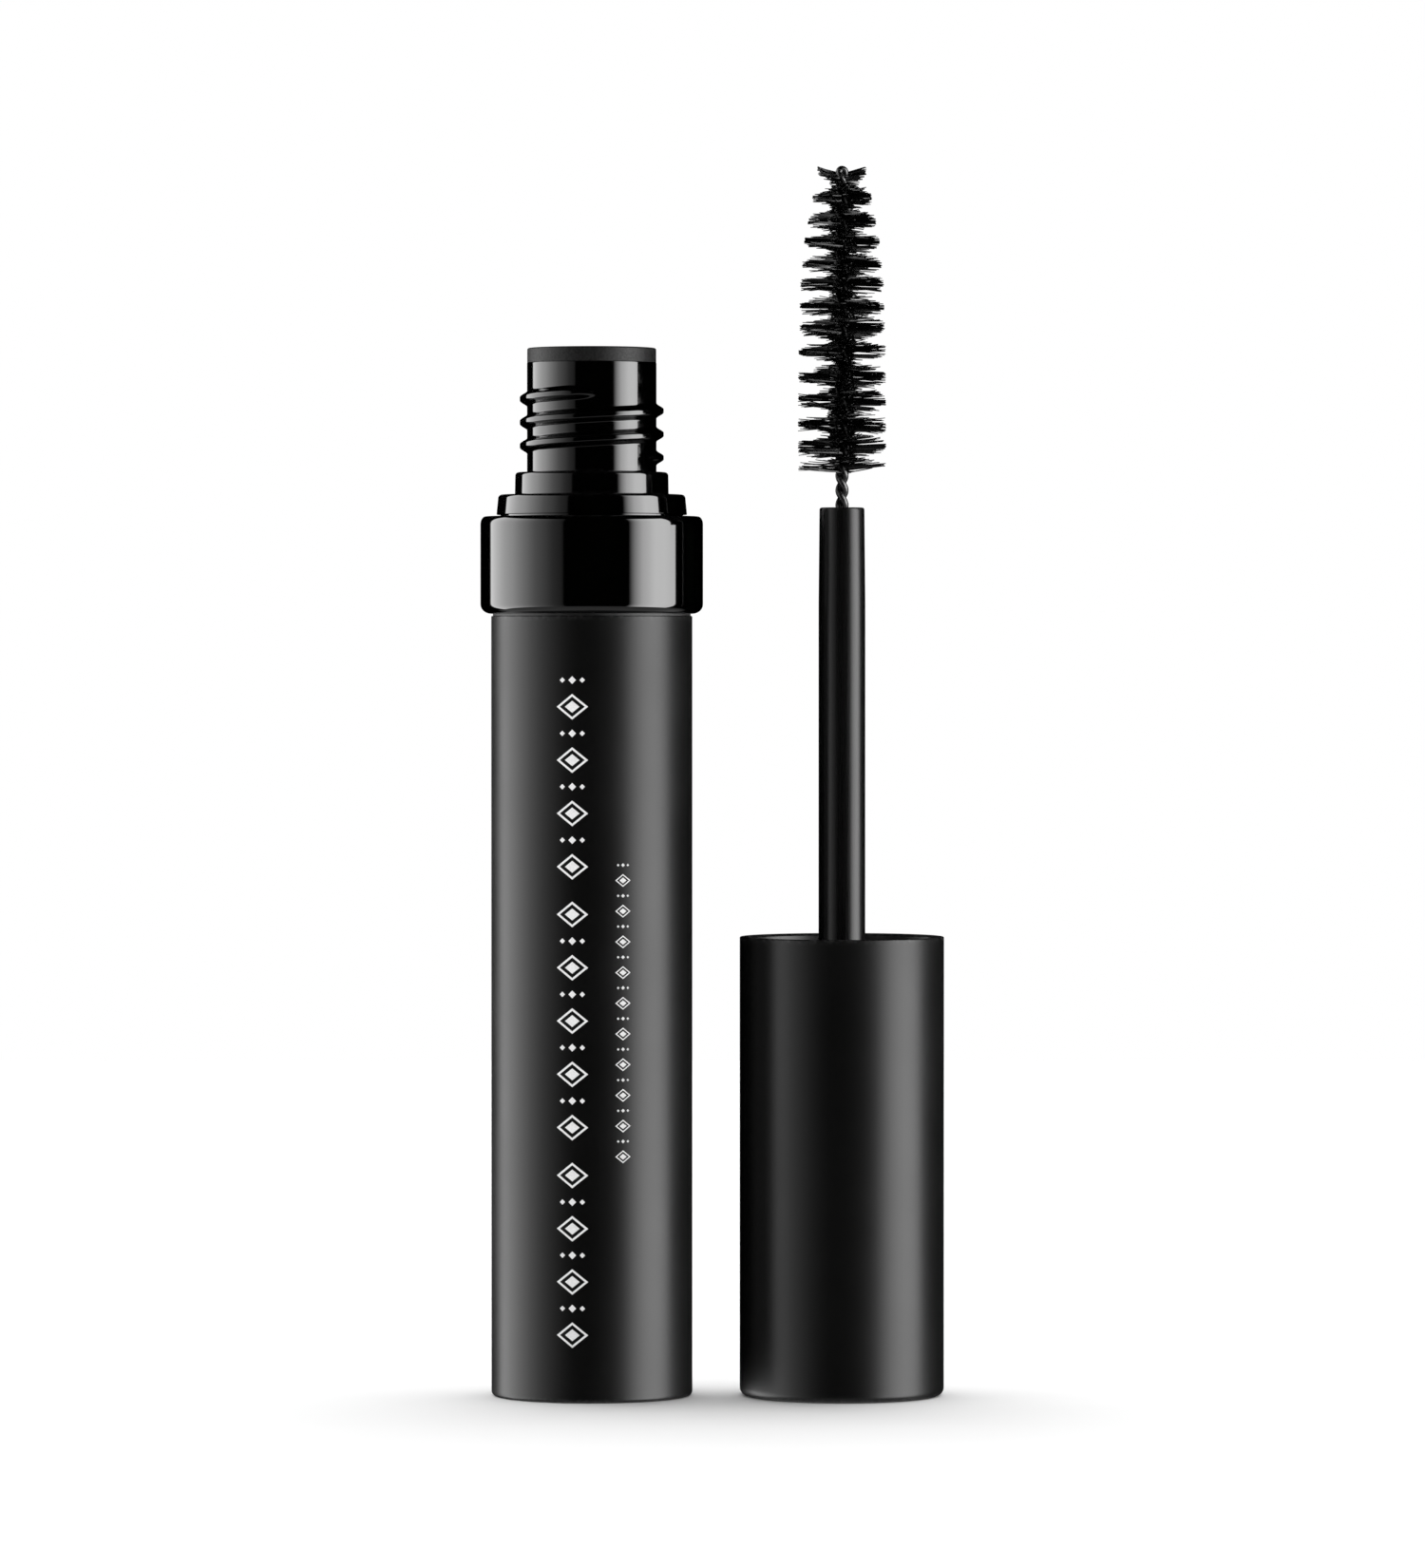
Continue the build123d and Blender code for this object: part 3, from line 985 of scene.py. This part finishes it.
def make_floor():
    """A large plain white surface. It isn't mirrored in the gloss."""
    half = FLOOR_HALF_WIDTH
    corners = [(-half, -half, 0), (half, -half, 0), (half, half, 0), (-half, half, 0)]
    floor = mesh_object("floor", corners, [(0, 1, 2, 3)])
    look = Finish("floor_look", Specular_IOR_Level=0.0)
    colour = look.mix(look.noise(40, 2.0), grey(0.8), grey(0.82))
    roughness = look.spread(look.noise(60), 0, 1, 0.85, 0.95)
    floor.data.materials.append(look.finish(colour, roughness, None))
    floor.visible_glossy = False


def make_flag():
    """A black card behind the tube. Only the gloss sees it, and it keeps a softbox's end off the wand."""
    axis_x, radius, _, _ = place("collar_ring")
    near = radius + FLAG_GAP
    far = FLAG_REACH * radius
    high = place("wire_core")[3]
    corners = [(axis_x, near, 0), (axis_x, far, 0), (axis_x, far, high), (axis_x, near, high)]
    flag = mesh_object("flag", corners, [(0, 1, 2, 3)])
    look = Finish("flag_look", Roughness=1.0, Specular_IOR_Level=0.0)
    flag.data.materials.append(look.finish(look.mix(look.noise(40), grey(0), grey(0.001)), None, None))
    flag.visible_camera = False
    flag.visible_diffuse = False
    flag.visible_shadow = False


def softboxes(look, azimuth, elevation):
    """Two tall softboxes for the gloss: their radiance by azimuth, within a band of elevations."""
    ramp = look.nodes.new("ShaderNodeValToRGB")
    look.links.new(look.spread(azimuth, -math.pi, math.pi, 0, 1), ramp.inputs[0])
    stops = ramp.color_ramp.elements
    while len(stops) < len(SOFTBOXES):
        stops.new(0.5)
    for stop, (degrees, radiance) in zip(stops, SOFTBOXES):
        stop.position = degrees / 360 + 0.5
        stop.color = (radiance / BRIGHTEST,) * 3 + (1,)
    height = look.math("ABSOLUTE", elevation)
    within = look.spread(height, SOFTBOX_HALF_HEIGHT - SOFTBOX_FADE, SOFTBOX_HALF_HEIGHT, BRIGHTEST, 0)
    return look.math("MULTIPLY", ramp.outputs[0], within)


def notch(look, azimuth, elevation):
    """1 where the far end of the right softbox is cut away above the horizon, 0 over the rest of it."""
    left = NOTCH_AZIMUTH - NOTCH_AZIMUTH_BLUR
    right = NOTCH_AZIMUTH + NOTCH_AZIMUTH_BLUR
    low = NOTCH_ELEVATION - NOTCH_ELEVATION_BLUR
    high = NOTCH_ELEVATION + NOTCH_ELEVATION_BLUR
    right_end = look.spread(azimuth, left, right, 0, 1)
    upper = look.spread(elevation, low, high, 0, 1)
    return look.math("MULTIPLY", right_end, upper)


def soft_dome(look, y, z):
    """Soft light from all round, strongest from high behind the object and weakest from high in front."""
    lean = look.math("ADD", look.math("MULTIPLY", z, DOME_HIGH_FROM_BEHIND), DOME_FROM_BEHIND)
    dome = look.math("MAXIMUM", look.math("ADD", look.math("MULTIPLY", y, lean), 1), 0)
    return look.math("MULTIPLY", dome, DOME_RADIANCE)


def make_world():
    """White for the camera, a dome for soft light, and softboxes with a weak glow below for the gloss."""
    world = bpy.data.worlds.new("studio")
    bpy.context.scene.world = world
    world.use_nodes = True
    world.cycles.sampling_method = "NONE"
    look = Nodes(world.node_tree)
    look.nodes.clear()
    split = look.nodes.new("ShaderNodeSeparateXYZ")
    look.links.new(look.nodes.new("ShaderNodeTexCoord").outputs["Generated"], split.inputs[0])
    x, y, z = split.outputs
    azimuth = look.math("ARCTAN2", x, look.math("MULTIPLY", y, -1))
    elevation = look.math("ARCSINE", z)
    uncut = look.math("SUBTRACT", 1, notch(look, azimuth, elevation))
    mirrored = look.math("MULTIPLY", softboxes(look, azimuth, elevation), uncut)
    under = look.spread(elevation, UNDER_FULL_AT, UNDER_GONE_AT, UNDER_RADIANCE, 0)
    mirrored = look.math("ADD", mirrored, under)
    kind = look.nodes.new("ShaderNodeLightPath").outputs
    strength = look.math("MULTIPLY", mirrored, kind["Is Glossy Ray"])
    diffuse = look.math("MULTIPLY", kind["Is Diffuse Ray"], soft_dome(look, y, z))
    strength = look.math("ADD", strength, diffuse)
    strength = look.math("ADD", strength, kind["Is Camera Ray"])
    background = look.nodes.new("ShaderNodeBackground")
    background.inputs["Color"].default_value = (1, 1, 1, 1)
    look.links.new(strength, background.inputs["Strength"])
    output = look.nodes.new("ShaderNodeOutputWorld")
    look.links.new(background.outputs[0], output.inputs["Surface"])


# ---------------------------------------------------------------- assembly


def dress(piece, material, body, slot, *nodes):
    """Gives a piece its material and body, and hides the CAD nodes it stands for."""
    piece.data.materials.append(material)
    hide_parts(*nodes)
    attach(piece, body)


def repaint(node, material):
    """Gives a CAD node, which keeps its own mesh, a material."""
    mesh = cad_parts[node].data
    mesh.materials.clear()
    mesh.materials.append(material)


make_camera()
make_floor()
make_flag()
make_world()
bpy.context.scene.view_settings.view_transform = "Standard"

sleeve_top = place("outer_sleeve")[3]
cap_top = place("cap_shell")[3]
collar_top = place("collar_ring")[3]
groove_top = sleeve_top + GROOVE_HEIGHT
sleeve_look = matte_shell("sleeve_look", [0, sleeve_top], marks=True)
collar_look = gloss_black("collar_look", [collar_top, sleeve_top], 0.03, 0.06, groove_top)
bottle_look = gloss_black("bottle_look", [WIDE_STEP_TOP, SMALL_STEP_TOP], 0.04, 0.08)
cap_look = matte_shell("cap_look", [0, cap_top])
dress(make_sleeve(), sleeve_look, "tube", "matte_shell", "outer_sleeve")
dress(make_collar(), collar_look, "tube", "gloss_collar", "collar_ring")
dress(make_bottle(), bottle_look, "tube", "gloss_bottle", "inner_bottle")
dress(make_wiper(), wiper_plastic(), "tube", "wiper_plastic", "wiper")
dress(make_cap_skin(), cap_look, "wand", "matte_shell", "cap_shell")
dress(make_stem(), stem_plastic(), "wand", "stem_plastic", "wand_stem")
dress(make_wire(), brush_wire(), "wand", "brush_wire", "wire_core")
dress(make_filaments(), nylon(), "wand", "filament", "bristles")
steel = weight_steel()
repaint("base_weight", steel)
repaint("cap_weight", steel)
repaint("inner_cap", liner_plastic())
repaint("cap_gasket", gasket_foam())

for name in ("cap_skin", "stem"):
    bpy.data.objects[name].visible_glossy = False
for node in ("cap_weight", "inner_cap", "cap_gasket"):
    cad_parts[node].visible_glossy = False
